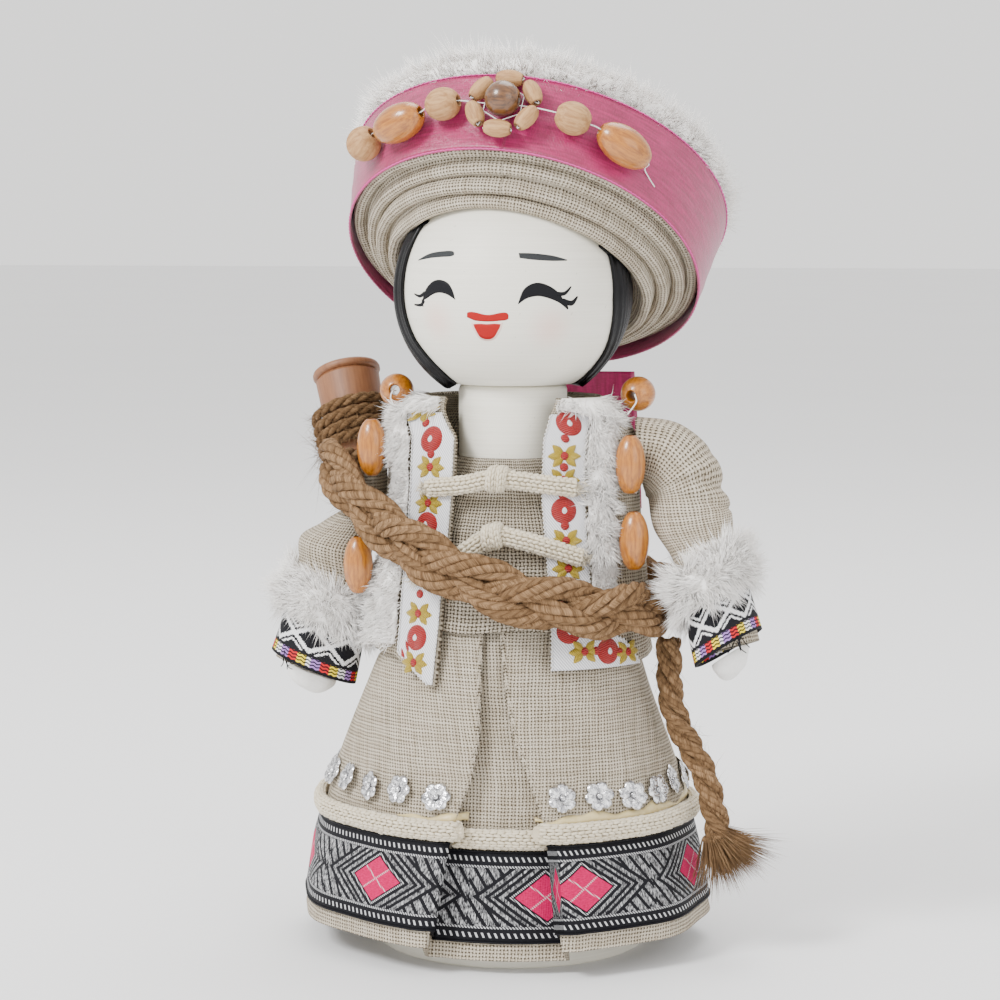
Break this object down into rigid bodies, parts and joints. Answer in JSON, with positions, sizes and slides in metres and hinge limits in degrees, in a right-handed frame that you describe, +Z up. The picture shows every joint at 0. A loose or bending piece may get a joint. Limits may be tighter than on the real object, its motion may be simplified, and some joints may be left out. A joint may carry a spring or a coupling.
{
  "type": "costume doll",
  "caption": "Standing turned-wood doll in folk dress: tilted fur-edged hat, linen vest and sleeves, braided jute sash, trimmed pleated skirt and a small cup at the shoulder.",
  "frame": {"origin": "centre of the wooden base's underside", "axes": "+Z up along the turned body's axis, the doll faces -Y, +X is the side of the hanging sash tail"},
  "size_m": [0.1513, 0.1331, 0.2669],
  "materials": {
    "ivory_paint": "ivory paint on turned wood",
    "black_hair": "glossy combed fibre",
    "linen": "coarse natural linen",
    "pink_satin": "satin ribbon",
    "white_fur": "short faux fur",
    "pale_wood": "bare turned wood",
    "amber_wood": "glossy stained wood",
    "brown_wood": "glossy stained wood",
    "white_ribbon": "embroidered satin ribbon",
    "woven_ribbon": "black and silver woven ribbon",
    "silver_sequins": "silver foil sequins",
    "cotton_cord": "braided cotton",
    "white_stuffing": "soft white cloth",
    "turned_wood": "stained turned wood",
    "jute": "coarse natural jute"
  },
  "bodies": {
    "root": {"body": "ivory_paint", "head": "ivory_paint", "hair": "black_hair", "hat_roll": "linen", "hat_ribbon": "pink_satin", "hat_ribbon_tail": "pink_satin", "hat_fur": "white_fur", "hat_bead_round_left": "pale_wood", "hat_bead_oval_left": "amber_wood", "hat_bead_barrel_left": "pale_wood", "hat_bead_barrel_right": "pale_wood", "hat_bead_oval_right": "amber_wood", "flower_bead_centre": "brown_wood", "flower_petal_1": "pale_wood", "flower_petal_2": "pale_wood", "flower_petal_3": "pale_wood", "flower_petal_4": "pale_wood", "flower_petal_5": "pale_wood", "flower_petal_6": "pale_wood", "bodice": "linen", "skirt": "linen", "skirt_ribbon": "woven_ribbon", "skirt_cord": "cotton_cord", "sequin_trim": "silver_sequins", "vest": "linen", "vest_ribbon_left": "white_ribbon", "vest_ribbon_right": "white_ribbon", "vest_fur_left": "white_fur", "vest_fur_right": "white_fur", "shoulder_bead_left": "amber_wood", "shoulder_bead_right": "amber_wood", "vest_bead_left_upper": "amber_wood", "vest_bead_left_lower": "amber_wood", "vest_bead_right_upper": "amber_wood", "vest_bead_right_lower": "amber_wood", "frog_upper": "cotton_cord", "frog_lower": "cotton_cord", "sleeve_left": "linen", "sleeve_right": "linen", "cuff_band_left": "woven_ribbon", "cuff_band_right": "woven_ribbon", "cuff_fur_left": "white_fur", "cuff_fur_right": "white_fur", "hand_left": "white_stuffing", "hand_right": "white_stuffing", "tub": "turned_wood", "tub_twine": "jute", "braid_sash": "jute", "sash_tail": "jute"}
  },
  "joints": []
}
